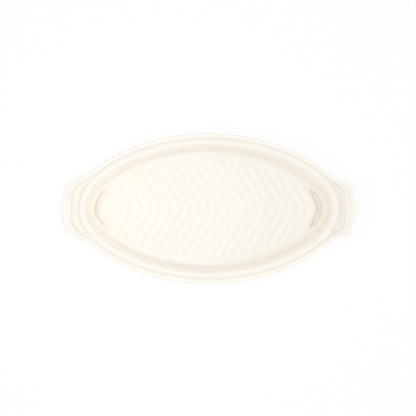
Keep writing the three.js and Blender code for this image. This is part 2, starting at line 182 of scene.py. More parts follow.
# How much painted shade, or buff colour of glaze broken over the crest, is mixed in, where 1 and over is all
# of it, with places counted in rings of the section
VALLEY_PAINTED_SHADE = 0.35
SHARP_POCKET_PAINTED_SHADE = 0.6
SLOPING_POCKET_PAINTED_SHADE = 1.0
CREST_BUFF = 1.0
CREST_RINGS = 7.0 * SPLINE_STEPS  # from the groove back to the crest
CREST_SPREAD = 3.0 * SPLINE_STEPS
HOLLOW_SPREAD = 3.0 * SPLINE_STEPS
HOLLOW_SHADE_SKEW = 0.6  # painted shade in the groove and scoops: how much more of it at the +X end than at the middle, and less at the other
WALL_FOOT_PAINTED_SHADE = 1.3  # painted shade at the foot of the wall, spread round the shoulders, which leaves about 1 at most
WALL_FOOT_RING = 2.5 * SPLINE_STEPS  # from the edge of the field
WALL_FOOT_SPREAD = 3.0 * SPLINE_STEPS

# Colours
GLAZE = (0.925, 0.9, 0.845)
GLAZE_WARM = (0.93, 0.9, 0.83)
# painted shade in the hollows, and the colour of glaze broken thin over the crest
GLAZE_BUFF_AND_SHADE = (0.91, 0.87, 0.79)
# painted light: lighter and warmer, for the steep sides
STEEP_SIDE_PAINTED_LIGHT = (0.975, 0.938, 0.842)
CLAY = (0.6, 0.47, 0.33)
CLAY_DARK = (0.44, 0.33, 0.22)
PAPER = (0.95, 0.95, 0.95)

# Texture: scale and detail of each noise, the band of it that is used, strength and height of each bump
NOISE_BAND = (0.3, 0.7)
DRIFT_NOISE = (16, 2)
DRIFT_BAND = (0.35, 0.65)
STEEP_SIDE_LIGHT_SLOPE = (0.13, 0.42)  # upward share of the normal, from all painted light on the steep sides to none
RIPPLE_NOISE = (70, 1)
RIPPLE_BUMP = (0.05, 2 * MM)
PEEL_NOISE = (420, 2)
PEEL_BUMP = (0.03, 0.5 * MM)
GLOSS_NOISE = (30, 3)
GLAZE_ROUGHNESS = (0.1, 0.17)
GRAIN_NOISE = (900, 4)
GRAIN_BUMP = (0.3, 0.2 * MM)
SPECK_NOISE = (650, 1)
SPECK_BAND = (0.66, 0.72)
MOTTLE_NOISE = (45, 3)
MOTTLE_SHARE = 0.35
CLAY_ROUGHNESS = (0.75, 0.95)
PAPER_ROUGHNESS = 0.9

# Stage, in metres
CAMERA_DISTANCE = 1.4  # above the rim
CAMERA_OFFSET = (-0.0007, 0.0008)  # from the middle of the dish
VIEW_WIDTH = 0.5762  # at the rim
SENSOR_WIDTH = 36.0  # mm
PAPER_SIZE = 6.0
PAPER_DROP = 0.0002
PAPER_GLOW = 0.9
SKY_LIGHT = 0.783
BACKDROP_LIGHT = 1.0
LAMP_TARGET = (0, 0, 0)
OVERHEAD_PLACE = (-0.14, -0.03, 0.72)
OVERHEAD_SIZE = 0.35
OVERHEAD_POWER = 1.5  # W
FILL_PLACE = (1.47, 0.0, 0.31)
FILL_SIZE = 0.6
FILL_POWER = 3.6  # W


# Helpers

def unit(vectors):
    return vectors / np.linalg.norm(vectors, axis=-1, keepdims=True)


def between(a, b, share):
    return a + (b - a) * share


def smoothstep(x):
    x = np.clip(x, 0, 1)
    return x * x * (3 - 2 * x)


def hump(distance, width):
    """1 where the distance is 0, fading out over about the width."""
    return np.exp(-((distance / width) ** 2))


def at(points, height):
    """Plan points with a height."""
    heights = np.broadcast_to(np.asarray(height, float), points.shape[:1])
    return np.column_stack([points, heights])


def turn_of(a, b):
    """Cross product of two plan vectors."""
    return a[0] * b[1] - a[1] * b[0]


def crossing(point_a, along_a, point_b, along_b):
    """Where two plan lines cross."""
    distance = turn_of(point_b - point_a, along_b) / turn_of(along_a, along_b)
    return point_a + along_a * distance


# Plan

def oval(half_length, half_width, angle):
    """Plan points of an oval, a little drawn in at its shoulders."""
    draw = 1 - SHOULDER_PINCH * np.sin(2 * angle) ** 2
    return np.stack([half_length * np.cos(angle) * draw, half_width * np.sin(angle) * draw], axis=-1)


def crest(angle):
    return oval(CREST_END, CREST_WIDTH / 2, angle)


def crest_tangent(angle):
    return unit(crest(angle + SLIVER) - crest(angle - SLIVER))


def outside(angle, reach):
    """Plan points at a reach outside the crest, or inside it if the reach is below 0."""
    tangent = crest_tangent(angle)
    normal = np.stack([tangent[..., 1], -tangent[..., 0]], axis=-1)
    return crest(angle) + normal * np.asarray(reach)[..., None]


def nearest_crest(points):
    """Angle of the crest nearest to each plan point, and how far inside it the point lies, as a reach."""
    table = np.linspace(0, 2 * math.pi, CREST_TABLE_SIZE)
    line = crest(table)
    found = np.array([np.argmin(((line - p) ** 2).sum(1)) for p in points])
    angle = table[found]
    for _ in range(NEAREST_ROUNDS):
        gap = points - crest(angle)
        speed = np.linalg.norm(crest(angle + SLIVER) - crest(angle - SLIVER), axis=1) / (2 * SLIVER)
        angle = angle + NEAREST_STEP * (gap * crest_tangent(angle)).sum(1) / speed
    return angle, -np.linalg.norm(points - crest(angle), axis=1)


def rounded_path(corners):
    """Points of a path of straight stretches; corners is a list of (point, radius)."""
    points = [corners[0][0]]
    for before, (point, radius), after in zip(corners, corners[1:], corners[2:]):
        back = before[0] - point
        ahead = after[0] - point
        lengths = np.linalg.norm(back), np.linalg.norm(ahead)
        back, ahead = unit(back), unit(ahead)
        turn = math.pi - math.acos(float(np.clip(back @ ahead, -1, 1)))
        cut = min(radius * math.tan(turn / 2), min(lengths) / 2)
        start, end = point + back * cut, point + ahead * cut
        for t in np.linspace(0, 1, CORNER_STEPS):
            points.append(start * (1 - t) ** 2 + point * 2 * t * (1 - t) + end * t**2)
    points.append(corners[-1][0])
    return np.array(points)


def handle_path(upper_corners):
    """Both halves of a path round the +X handle, from its corners with y above 0, given from the tip out."""
    flip = np.array([1, -1])
    lower_corners = [(point * flip, radius) for point, radius in reversed(upper_corners)]
    return rounded_path(lower_corners + upper_corners)


def handle_edge_path():
    """Outer edge of the +X handle."""
    start = outside(HANDLE_START, LIP_REACH)
    corner = np.array([HANDLE_END - HANDLE_BOW, HANDLE_WIDTH / 2])
    side = np.array([-math.cos(HANDLE_TAPER), math.sin(HANDLE_TAPER)])
    root = crossing(corner, side, start, crest_tangent(HANDLE_START))
    return handle_path(
        [
            (np.array([HANDLE_END, HANDLE_FLAT / 2]), HANDLE_END_RADIUS),
            (corner, HANDLE_CORNER_RADIUS),
            (root, HANDLE_ROOT_RADIUS),
            (start, 0),
        ]
    )


def recess_path():
    """Outer edge of the +X handle's recess, at the foot of its rails and grip bar."""
    start = outside(HANDLE_START, GROOVE_REACH)
    bar_side = np.array([HANDLE_END - GRIP_BAR_WIDTH, 0.0])
    corner = crossing(bar_side, np.array([0.0, 1.0]), start, crest_tangent(HANDLE_START))
    return handle_path([(corner, RECESS_CORNER_RADIUS), (start, 0)])


def along_path(path, share):
    """Points at shares of a path's length."""
    steps = np.linalg.norm(np.diff(path, axis=0), axis=1)
    run = np.concatenate([[0], np.cumsum(steps)]) / steps.sum()
    return np.stack([np.interp(share, run, path[:, k]) for k in range(2)], axis=-1)


class Columns:
    """Where columns of faces round the plan meet the recess or groove, and the outer edge."""

    def __init__(self, angle):
        self.angle = np.asarray(angle)
        turned = np.cos(self.angle) < 0
        sign = np.where(turned, -1.0, 1.0)[:, None]
        local = (self.angle + np.where(turned, math.pi, 0) + math.pi) % (2 * math.pi) - math.pi
        share = (local / HANDLE_START + 1) / 2
        on_handle = (np.abs(local) <= HANDLE_START)[:, None]
        recess = along_path(recess_path(), share) * sign
        edge = along_path(handle_edge_path(), share) * sign
        self.recess = np.where(on_handle, recess, outside(self.angle, GROOVE_REACH))
        self.edge = np.where(on_handle, edge, outside(self.angle, LIP_REACH))
        widest = HANDLE_REACH - GRIP_BAR_WIDTH - GROOVE_REACH
        extra = np.linalg.norm(self.recess - crest(self.angle), axis=1) - GROOVE_REACH
        self.handle = smoothstep(extra / widest)


def even_columns():
    """Angles round the crest, even along each handle and along each side."""
    handle = np.linspace(-HANDLE_START, HANDLE_START, HANDLE_COLUMNS, endpoint=False)
    side = np.linspace(HANDLE_START, math.pi - HANDLE_START, SIDE_COLUMNS, endpoint=False)
    half = np.concatenate([handle, side])
    return np.concatenate([half, half + math.pi])


# Section

def wall_lean(angle):
    """Angle that the wall leans out from upright, which grows from the sides to the ends."""
    return between(SIDE_LEAN, END_LEAN, np.cos(angle) ** LEAN_SPREAD)


def fillet_radius(angle):
    return between(SIDE_FILLET_RADIUS, END_FILLET_RADIUS, np.cos(angle) ** FILLET_SPREAD)


def leaning_reach(angle, set_off, height):
    """Reach of a line along the wall's lean, set off outward from the middle of the crest."""
    lean = wall_lean(angle)
    drop = DISH_HEIGHT - CREST_RADIUS - set_off * np.sin(lean) - height
    return set_off * np.cos(lean) - drop * np.tan(lean)


def fillet_reach(angle):
    """Reach of the centre of the fillet at the wall's foot."""
    radius = fillet_radius(angle)
    return leaning_reach(angle, -CREST_RADIUS - radius, FLOOR_HEIGHT + radius)


def fillet_height(angle, reach):
    """Height of the floor's margin and fillet at a reach inside the crest."""
    radius = fillet_radius(angle)
    across = np.clip((reach - fillet_reach(angle)) / radius, 0, 1)
    return FLOOR_HEIGHT + radius * (1 - np.sqrt(1 - across**2))


def crest_arc(columns, start, end, steps):
    """Lines round the top of the crest, from one angle to another."""
    return [
        at(
            outside(columns.angle, CREST_RADIUS * np.cos(a)),
            DISH_HEIGHT - CREST_RADIUS + CREST_RADIUS * np.sin(a),
        )
        for a in np.linspace(start, end, steps + 1)
    ]


def inside_stations(columns, field_reach):
    """Lines from the edge of the field up the wall and over the crest to its flank."""
    fillet_steps, wall_steps, inner_steps, outer_steps = INSIDE_STEPS
    lean = wall_lean(columns.angle)
    wall_foot = fillet_reach(columns.angle) + fillet_radius(columns.angle) * np.cos(lean)
    rings = []
    for t in np.linspace(0, 1, fillet_steps + 1):
        reach = between(field_reach, wall_foot, t)
        rings.append(at(outside(columns.angle, reach), fillet_height(columns.angle, reach)))
    top = crest_arc(columns, math.pi - lean, math.pi / 2, inner_steps)
    foot = rings[-1]
    rings += [between(foot, top[0], t) for t in np.linspace(0, 1, wall_steps + 1)[1:-1]]
    rings += top
    rings += crest_arc(columns, math.pi / 2, CREST_FLANK_ANGLE, outer_steps)[1:]
    return rings


def rim_stations(columns):
    """Lines of the rim from the flank of the crest to the wall under the lip."""
    handle = columns.handle
    flank = outside(columns.angle, CREST_RADIUS * math.cos(CREST_FLANK_ANGLE))
    flank_height = DISH_HEIGHT - CREST_RADIUS * (1 - math.sin(CREST_FLANK_ANGLE))
    groove_height = DISH_HEIGHT - between(GROOVE_DEPTH, RECESS_DEPTH, handle)
    thickness = between(LIP_THICKNESS, GRIP_BAR_THICKNESS, handle)
    bend = between(FLANK_BEND, SCOOP_BEND, handle)[:, None]
    sag = between(FLANK_SAG, SCOOP_SAG, handle)
    inner_line = between(LIP_INNER_LINE, BAR_INNER_LINE, handle)[:, None]
    wall = outside(columns.angle, leaning_reach(columns.angle, OUTER_FACE, LIP_TOP - LIP_THICKNESS))

    def lip(share):
        return between(columns.recess, columns.edge, share)

    bend_line = at(between(flank, columns.recess, bend), between(flank_height, groove_height, sag))
    groove_line = at(between(flank, columns.recess, GROOVE_LINE), groove_height)
    return [
        bend_line,
        between(bend_line, groove_line, NEAR_GROOVE),
        groove_line,
        at(lip(0), between(groove_height, LIP_TOP, LIP_FOOT_RISE)),
        at(lip(inner_line), LIP_TOP),
        at(lip(inner_line + RIDGE_WIDTH), LIP_TOP),
        at(lip(LIP_MIDDLE_LINE), LIP_TOP - SPLINE_PULL * GRIP_BAR_DIP * handle),
        at(lip(LIP_OUTER_LINE), LIP_TOP),
        at(lip(LIP_OUTER_LINE + RIDGE_WIDTH), LIP_TOP),
        at(lip(LIP_ROUND_LINE), LIP_TOP - LIP_ROUND_DROP),
        at(lip(1), LIP_TOP - LIP_EDGE_DROP),
        at(lip(LIP_UNDER_LINE), LIP_TOP - thickness),
        at(between(wall, columns.edge, LIP_FILLET_LINE), LIP_TOP - thickness - HANDLE_HAUNCH * handle),
    ]


def heel_stations(columns):
    """Lines of the outer wall and of its rounded heel."""
    heel_reach = leaning_reach(columns.angle, OUTER_FACE - HEEL_RADIUS, HEEL_HEIGHT)
    wall_top = LIP_TOP - GRIP_BAR_THICKNESS - HANDLE_HAUNCH - LIP_FILLET_DROP
    rings = [at(outside(columns.angle, leaning_reach(columns.angle, OUTER_FACE, wall_top)), wall_top)]
    for a in np.linspace(-wall_lean(columns.angle), -math.pi / 2, HEEL_STEPS + 1):
        reach = heel_reach + HEEL_RADIUS * np.cos(a)
        rings.append(at(outside(columns.angle, reach), HEEL_HEIGHT + HEEL_RADIUS * np.sin(a)))
    return rings


def foot_reaches(angle):
    """Reaches of the outer and the inner face of the foot ring."""
    outer = leaning_reach(angle, OUTER_FACE - HEEL_RADIUS, HEEL_HEIGHT) - FOOT_SET_BACK
    return outer, outer - FOOT_WIDTH


def spline(stations, steps):
    """Rings of a cubic B-spline surface along the stations, with its ends on the first and the last."""
    control = np.array([2 * stations[0] - stations[1], *stations, 2 * stations[-1] - stations[-2]])
    rings = []
    for p0, p1, p2, p3 in zip(control, control[1:], control[2:], control[3:]):
        for t in np.arange(steps) / steps:
            rings.append(
                (
                    (1 - t) ** 3 * p0
                    + (3 * t**3 - 6 * t**2 + 4) * p1
                    + (-3 * t**3 + 3 * t**2 + 3 * t + 1) * p2
                    + t**3 * p3
                )
                / 6
            )
    rings.append(stations[-1])
    return np.array(rings)


def notched(rings, columns, width):
    """The rings with small cross grooves near the ends of the grip bars."""
    across_bar = np.abs(rings[..., 0]) - (HANDLE_END - GRIP_BAR_WIDTH)
    on_bar = smoothstep(across_bar / NOTCH_RUN_IN) * columns.handle
    on_top = smoothstep((rings[..., 2] - LIP_TOP + GRIP_BAR_THICKNESS) / GRIP_BAR_THICKNESS)
    cut = sum(hump(np.abs(rings[..., 1]) - place, width) for place in NOTCH_PLACES)
    rings[..., 2] -= NOTCH_DEPTH * cut * on_bar * on_top
    return rings


class Section:
    """Rings from the edge of the field over the rim to the heel, and where the rim lies among them."""

    def __init__(self, columns, field_reach, notch_width=NOTCH_WIDTH):
        inside = inside_stations(columns, field_reach)
        rim = rim_stations(columns)
        stations = inside + rim + heel_stations(columns)
        self.rings = notched(spline(stations, SPLINE_STEPS), columns, notch_width)
        self.rim_start = len(inside) * SPLINE_STEPS
        self.groove = self.rim_start + GROOVE_STATION * SPLINE_STEPS
        self.rim_end = self.rim_start + (len(rim) - 1) * SPLINE_STEPS


# Floor

def rib_height(u):
    """Height of the floor's field across its ribs."""
    valley = np.abs(np.cos(math.pi * (u - LAST_RIB_END) / RIB_PITCH)) ** RIB_FULLNESS
    return FLOOR_HEIGHT - VALLEY_DEPTH * valley


def arm_shift(y, angle=RIB_ANGLE):
    """How far a chevron falls back along -X at a distance from the middle of the dish."""
    return (np.hypot(y, RIB_APEX_RADIUS) - RIB_APEX_RADIUS) / math.tan(angle)


def pocket_shares(points, distance):
    """How deep points lie in the sharp pocket and in the sloping one, and how far in line with them."""
    x, y = points[..., 0], np.abs(points[..., 1])
    in_line = 1 - smoothstep((y - POCKET_BEND_HALF_WIDTH) / (POCKET_HALF_WIDTH - POCKET_BEND_HALF_WIDTH))
    sharp = smoothstep((x + arm_shift(y, POCKET_ANGLE) - LAST_RIB_END) / POCKET_SLOPE_WIDTH)
    sloping = np.where(x < 0, np.clip(1 - distance / POCKET_RAMP, 0, 1), 0) ** POCKET_RAMP_SAG
    return in_line * sharp, in_line * sloping, in_line


def field_edge(angle):
    return oval(FIELD_HALF_LENGTH, FIELD_HALF_WIDTH, angle)


def inside_distance(points):
    """Distance of plan points inside the field, true near its edge, and their angles round it."""
    half = np.array([FIELD_HALF_LENGTH, FIELD_HALF_WIDTH])
    scaled = points / half
    ratio = np.linalg.norm(scaled, axis=-1)
    angle = np.arctan2(scaled[..., 1], scaled[..., 0])
    draw = 1 - SHOULDER_PINCH * np.sin(2 * angle) ** 2
    slope = np.linalg.norm(scaled / half, axis=-1) / np.maximum(ratio, LEAST_RATIO) / draw
    return (1 - ratio / draw) / slope, angle


class Field:
    """The herringbone field: lines that follow the ribs, and the angles where they meet its edge.

    A line is known by its u, the place along X where it crosses the middle of the dish.
    """

    def __init__(self):
        table = np.linspace(0, math.pi, FIELD_TABLE_SIZE)
        edge = field_edge(table)
        u = edge[:, 0] + arm_shift(edge[:, 1])
        peak = int(np.argmax(u))
        self.peak_angle = table[peak]
        # Past the +X tip a line meets each half of the edge twice, and at the peak it only touches it
        step = RIB_PITCH / RIB_STEPS
        before_tip = np.arange(-FIELD_HALF_LENGTH + step, FIELD_HALF_LENGTH - step / 2, step)
        past_tip = u[peak] - (u[peak] - FIELD_HALF_LENGTH) * np.linspace(1, 0, TIP_STEPS + 1) ** 2
        self.lines = np.concatenate([before_tip, past_tip[:-1]])
        self.count_before_tip = len(before_tip)
        self.high_angle = np.interp(-self.lines, -u[peak:], table[peak:])
        self.low_angle = np.interp(past_tip[1:-1], u[: peak + 1], table[: peak + 1])

    def edge_angles(self):
        """Angles round the edge, from its +X tip, one for each column of the inside."""
        upper = np.concatenate([[0], self.low_angle, [self.peak_angle], self.high_angle[::-1]])
        return np.concatenate([upper, [math.pi], 2 * math.pi - upper[:0:-1]])

    def arms(self, edge_angles, edge_heights):
        """Points along the +Y arm of each line, and how much painted shade is mixed into the glaze there."""
        low_y = np.zeros(len(self.lines))
        low_y[self.count_before_tip + 1 :] = field_edge(self.low_angle)[:, 1]
        high_y = field_edge(self.high_angle)[:, 1]
        across = (1 - np.cos(np.linspace(0, math.pi, ARM_STEPS + 1))) / 2
        y = between(low_y[:, None], high_y[:, None], across)
        x = self.lines[:, None] - arm_shift(y)
        points = np.stack([x, y], axis=-1)
        distance, angle = inside_distance(points)
        edge = np.interp(np.abs(angle), edge_angles, edge_heights)
        sharp, sloping, in_line = pocket_shares(points, distance)
        depth = smoothstep(distance / between(FIELD_EDGE_WIDTH, POCKET_EDGE_WIDTH, in_line))
        pockets = FLOOR_HEIGHT - POCKET_DEPTH * (sharp + sloping)
        z = between(edge, np.minimum(rib_height(self.lines)[:, None], pockets), depth)
        in_valley = np.clip((FLOOR_HEIGHT - z) / VALLEY_DEPTH, 0, 1)
        # painted shade in the pockets at the ends and in the valleys of the ribs
        pocket_painted_shade = SHARP_POCKET_PAINTED_SHADE * sharp + SLOPING_POCKET_PAINTED_SHADE * sloping
        return np.stack([x, y, z], axis=-1), depth * (VALLEY_PAINTED_SHADE * in_valley + pocket_painted_shade)

    def grid(self, edge_count, arms, buff):
        """Points inside the field, their painted shade, and faces; points on the edge are numbered before
        them.
        """
        lines = len(self.lines)
        tip_line = self.count_before_tip
        inner = arms[:, 1:-1].reshape(-1, 3)
        inner_buff_and_shade = buff[:, 1:-1].ravel()
        vertices = np.concatenate([inner, inner * [1, -1, 1], arms[:tip_line, 0]])
        buff_and_shade_values = np.concatenate([inner_buff_and_shade, inner_buff_and_shade, buff[:tip_line, 0]])

        # Numbers on the edge run round it from the +X tip, so the lower half counts back from the end
        high_index = 1 + len(self.low_angle) + np.arange(lines, 0, -1)
        low_index = 1 + np.arange(len(self.low_angle))
        own = edge_count + np.arange(len(inner)).reshape(lines, -1)
        upper = np.column_stack([np.zeros(lines, int), own, high_index])
        lower = np.column_stack([np.zeros(lines, int), own + len(inner), edge_count - high_index])
        axis_index = edge_count + 2 * len(inner) + np.arange(tip_line)
        upper[:tip_line, 0] = axis_index
        lower[:tip_line, 0] = axis_index
        upper[tip_line + 1 :, 0] = low_index
        lower[tip_line + 1 :, 0] = edge_count - low_index

        faces = grid_faces(upper) + [face[::-1] for face in grid_faces(lower)]
        # The first and the last line close on one point of the edge
        peak = 1 + len(self.low_angle)
        tail = edge_count // 2
        for step in range(ARM_STEPS):
            faces.append((tail, upper[0, step], upper[0, step + 1]))
            faces.append((tail, lower[0, step + 1], lower[0, step]))
            faces.append((upper[-1, step], peak, upper[-1, step + 1]))
            faces.append((lower[-1, step + 1], edge_count - peak, lower[-1, step]))
        return vertices, buff_and_shade_values, faces


# Meshes

def grid_faces(index):
    """Quads between the neighbouring rows of a grid of vertex numbers."""
    a, b, c, d = index[:-1, :-1], index[1:, :-1], index[1:, 1:], index[:-1, 1:]
    return list(map(tuple, np.stack([a, b, c, d], axis=-1).reshape(-1, 4).tolist()))


def ring_index(first, rings, columns):
    """Vertex numbers of closed rings, the first column repeated at the end."""
    index = first + np.arange(rings * columns).reshape(rings, columns)
    return np.column_stack([index, index[:, 0]])


def vertex_normals(vertices, faces):
    """Normals of vertices, from the faces round each."""
    quads = np.array([face + face[-1:] * (4 - len(face)) for face in faces])
    corners = vertices[quads]
    face_normals = np.cross(corners[:, 2] - corners[:, 0], corners[:, 3] - corners[:, 1])
    normals = np.zeros_like(vertices)
    for k in range(4):
        np.add.at(normals, quads[:, k], face_normals)
    return unit(normals)


def open_edges(faces):
    """Edges with a face on one side only."""
    edges = {(a, b) for face in faces for a, b in zip(face, face[1:] + face[:1])}
    return sorted((a, b) for a, b in edges if (b, a) not in edges)


def coat(vertices, faces):
    """A closed layer of glaze with its outer side on the given surface."""
    count = len(vertices)
    under = vertices - vertex_normals(vertices, faces) * GLAZE_THICKNESS
    skin = [tuple(v + count for v in reversed(face)) for face in faces]
    border = [(b, a, a + count, b + count) for a, b in open_edges(faces)]
    return np.concatenate([vertices, under]), faces + skin + border


def linked(name, data):
    """A new object in the scene."""
    made = bpy.data.objects.new(name, data)
    bpy.context.scene.collection.objects.link(made)
    return made


def piece(name, vertices, faces, material, node, buff=None):
    """A piece of the dish that takes the place of a node of the solids."""
    mesh = bpy.data.meshes.new(name)
    mesh.from_pydata((vertices * MM).tolist(), [], faces)
    mesh.shade_smooth()
    mesh.set_sharp_from_angle(angle=SHARP_ANGLE)
    # share of painted shade, and of glaze broken over the crest, kept on the points
    if buff is not None:
        shares = mesh.attributes.new("buff", "FLOAT", "POINT")
        shares.data.foreach_set("value", np.asarray(buff, np.float32))
    mesh.materials.append(material)
    made = linked(name, mesh)
    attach(made, "root")
    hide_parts(node)


# Materials

class Shader:
    """A material's node tree, with a short way to add and join nodes."""

    def __init__(self, name):
        self.material = bpy.data.materials.new(name)
        self.material.use_nodes = True
        self.nodes = self.material.node_tree.nodes
        self.links = self.material.node_tree.links
        self.surface = self.nodes["Principled BSDF"]

    def add(self, kind, settings=None, **inputs):
        """A new node; its inputs are given by name, with _ for a space."""
        node = self.nodes.new(kind)
        for key, value in (settings or {}).items():
            setattr(node, key, value)
        for key, value in inputs.items():
            self.put(node.inputs[key.replace("_", " ")], value)
        return node

    def put(self, socket, value):
        """Links a socket to another one, or sets it to a colour or a number."""
        if isinstance(value, bpy.types.NodeSocket):
            self.links.new(value, socket)
        elif isinstance(value, tuple):
            socket.default_value = (*value, 1.0)
        else:
            socket.default_value = value

    def noise(self, scale, detail):
        """Noise in the space of the dish."""
        place = self.add("ShaderNodeTexCoord").outputs["Object"]
        return self.add("ShaderNodeTexNoise", Vector=place, Scale=scale, Detail=detail).outputs["Fac"]

    def mix(self, share, a, b):
        """A blend of two colours, which have sockets 6 and 7 of this node and its output 2."""
        node = self.add("ShaderNodeMix", {"data_type": "RGBA"})
        self.put(node.inputs[0], share)
        self.put(node.inputs[6], a)
        self.put(node.inputs[7], b)
        return node.outputs[2]

    def spread(self, value, low, high, to_low, to_high):
        """A value carried smoothly from one range to another."""
        settings = {"interpolation_type": "SMOOTHSTEP"}
        node = self.add("ShaderNodeMapRange", settings, Value=value)
        for socket, number in zip(node.inputs[1:5], (low, high, to_low, to_high)):
            socket.default_value = number
        return node.outputs["Result"]

    def bump(self, height, strength, distance, under=None):
        """A normal bent by a height, on top of the one under it."""
        node = self.add("ShaderNodeBump", Height=height, Strength=strength, Distance=distance)
        if under is not None:
            self.put(node.inputs["Normal"], under)
        return node.outputs["Normal"]

    def finish(self, colour, roughness, normal):
        """The material, once its surface has its colour, roughness and normal."""
        self.put(self.surface.inputs["Base Color"], colour)
        self.put(self.surface.inputs["Roughness"], roughness)
        self.put(self.surface.inputs["Normal"], normal)
        return self.material


def glaze_material(name):
    """Glossy cream glaze: a little warmer in drifts, with painted light that makes the steep sides lighter
    and warmer, darker where it breaks over the crest, painted shade in the hollows, and faintly rippled by
    the firing."""
    shader = Shader(name)
    drift = shader.spread(shader.noise(*DRIFT_NOISE), *DRIFT_BAND, 0, 1)
    colour = shader.mix(drift, GLAZE, GLAZE_WARM)
    normal = shader.add("ShaderNodeNewGeometry").outputs["Normal"]
    upward = shader.add("ShaderNodeSeparateXYZ", Vector=normal).outputs["Z"]
    # painted light: the steep sides are made lighter and warmer
    colour = shader.mix(shader.spread(upward, *STEEP_SIDE_LIGHT_SLOPE, 1, 0), colour, STEEP_SIDE_PAINTED_LIGHT)
    # painted shade in the hollows, and the darker glaze broken thin over the crest
    buff = shader.add("ShaderNodeAttribute", {"attribute_name": "buff"}).outputs["Fac"]
    colour = shader.mix(buff, colour, GLAZE_BUFF_AND_SHADE)
    ripple = shader.bump(shader.noise(*RIPPLE_NOISE), *RIPPLE_BUMP)
    peel = shader.bump(shader.noise(*PEEL_NOISE), *PEEL_BUMP, ripple)
    roughness = shader.spread(shader.noise(*GLOSS_NOISE), *NOISE_BAND, *GLAZE_ROUGHNESS)
    return shader.finish(colour, roughness, peel)


def clay_material(name):
    """Matt buff stoneware with fine iron specks and a sandy grain."""
    shader = Shader(name)
    grain = shader.noise(*GRAIN_NOISE)
    specks = shader.spread(shader.noise(*SPECK_NOISE), *SPECK_BAND, 0, 1)
    mottle = shader.spread(shader.noise(*MOTTLE_NOISE), *NOISE_BAND, 0, MOTTLE_SHARE)
    colour = shader.mix(specks, shader.mix(mottle, CLAY, CLAY_DARK), CLAY_DARK)
    roughness = shader.spread(grain, *NOISE_BAND, *CLAY_ROUGHNESS)
    return shader.finish(colour, roughness, shader.bump(grain, *GRAIN_BUMP))


def paper_material(name):
    """White paper that the camera sees as lit evenly."""
    shader = Shader(name)
    shader.put(shader.surface.inputs["Base Color"], PAPER)
    shader.put(shader.surface.inputs["Roughness"], PAPER_ROUGHNESS)
    glow = shader.add("ShaderNodeEmission").outputs["Emission"]
    seen = shader.add("ShaderNodeLightPath").outputs["Is Camera Ray"]
    share = shader.add("ShaderNodeMath", {"operation": "MULTIPLY"})
    shader.put(share.inputs[0], seen)
    shader.put(share.inputs[1], PAPER_GLOW)
    blend = shader.add("ShaderNodeMixShader", Fac=share.outputs["Value"])
    shader.put(blend.inputs[1], shader.surface.outputs["BSDF"])
    shader.put(blend.inputs[2], glow)
    shader.put(shader.nodes["Material Output"].inputs["Surface"], blend.outputs["Shader"])
    return shader.material


# Pieces

class Inside:
    """The floor, and the columns of faces that rise from the edge of its field."""

    def __init__(self):
        field = Field()
        edge_angles = field.edge_angles()
        self.count = len(edge_angles)
        self.crest_angle, self.field_reach = nearest_crest(field_edge(edge_angles))
        self.columns = Columns(self.crest_angle)
        half_edge = slice(0, self.count // 2 + 1)
        edge_heights = fillet_height(self.crest_angle, self.field_reach)
        arms, buff = field.arms(edge_angles[half_edge], edge_heights[half_edge])
        self.floor_vertices, self.floor_buff, self.floor_faces = field.grid(self.count, arms, buff)

    def surface(self, rings):
        """Floor and rings as one surface; the first ring is the edge of the floor's field."""
        vertices = np.concatenate([rings[0], self.floor_vertices, rings[1:].reshape(-1, 3)])
        index = ring_index(len(self.floor_vertices), len(rings), self.count)
        index[0] = np.append(np.arange(self.count), 0)
        return vertices, index


def rim_buff_and_shade(rings, groove):
    """Glaze breaks thin over the crest to a darker colour; the groove and the scoops get painted shade by
    how deep they are, more towards the +X end.
    """
    from_groove = np.arange(len(rings)) - groove
    crest_share = CREST_BUFF * hump(from_groove + CREST_RINGS, CREST_SPREAD)
    # painted shade in the groove and the scoops by their depth, stronger at the +X end
    hollow = hump(from_groove, HOLLOW_SPREAD)
    depth = np.clip((LIP_TOP - rings[..., 2]) / (RECESS_DEPTH - LIP_DROP), 0, 1)
    run = 1 + HOLLOW_SHADE_SKEW * rings[..., 0] / HANDLE_END
    return (crest_share[:, None] + hollow[:, None] * depth * run).ravel()


def wall_foot_painted_shade(rings, angle):
    """Painted shade at the foot of the wall, at the shoulders by the +X end."""
    from_foot = np.arange(len(rings)) - WALL_FOOT_RING
    foot_shade = WALL_FOOT_PAINTED_SHADE * hump(from_foot, WALL_FOOT_SPREAD)
    at_shoulders = np.abs(np.sin(2 * angle)) * np.clip(np.cos(angle), 0, 1)
    return (foot_shade[:, None] * at_shoulders).ravel()


def inside_glaze_piece(inside, material):
    """The glaze on the floor, the wall and the crest, out to the groove."""
    section = Section(inside.columns, inside.field_reach)
    rings = section.rings[: section.groove + 1]
    vertices, index = inside.surface(rings)
    # painted shade at the foot of the wall and in the groove, with the glaze broken over the crest
    buff = rim_buff_and_shade(rings, section.groove) + wall_foot_painted_shade(rings, inside.crest_angle)
    buff = np.concatenate([buff[: inside.count], inside.floor_buff, buff[inside.count :]])
    vertices, faces = coat(vertices, inside.floor_faces + grid_faces(index))
    buff = np.tile(buff, 2)
    piece("inside_glaze_coat", vertices, faces, material, "inside_glaze", buff)


def outside_glaze_piece(columns, material):
    """The glaze on the lip, the handles and the outer wall, from the groove to the heel."""
    section = Section(columns, fillet_reach(columns.angle))
    rings = section.rings[section.groove :]
    faces = grid_faces(ring_index(0, len(rings), len(columns.angle)))
    vertices, faces = coat(rings.reshape(-1, 3), faces)
    # painted shade in the groove and the scoops, with the glaze broken over the crest
    buff = np.tile(rim_buff_and_shade(rings, 0), 2)
    piece("outside_glaze_coat", vertices, faces, material, "outside_glaze", buff)


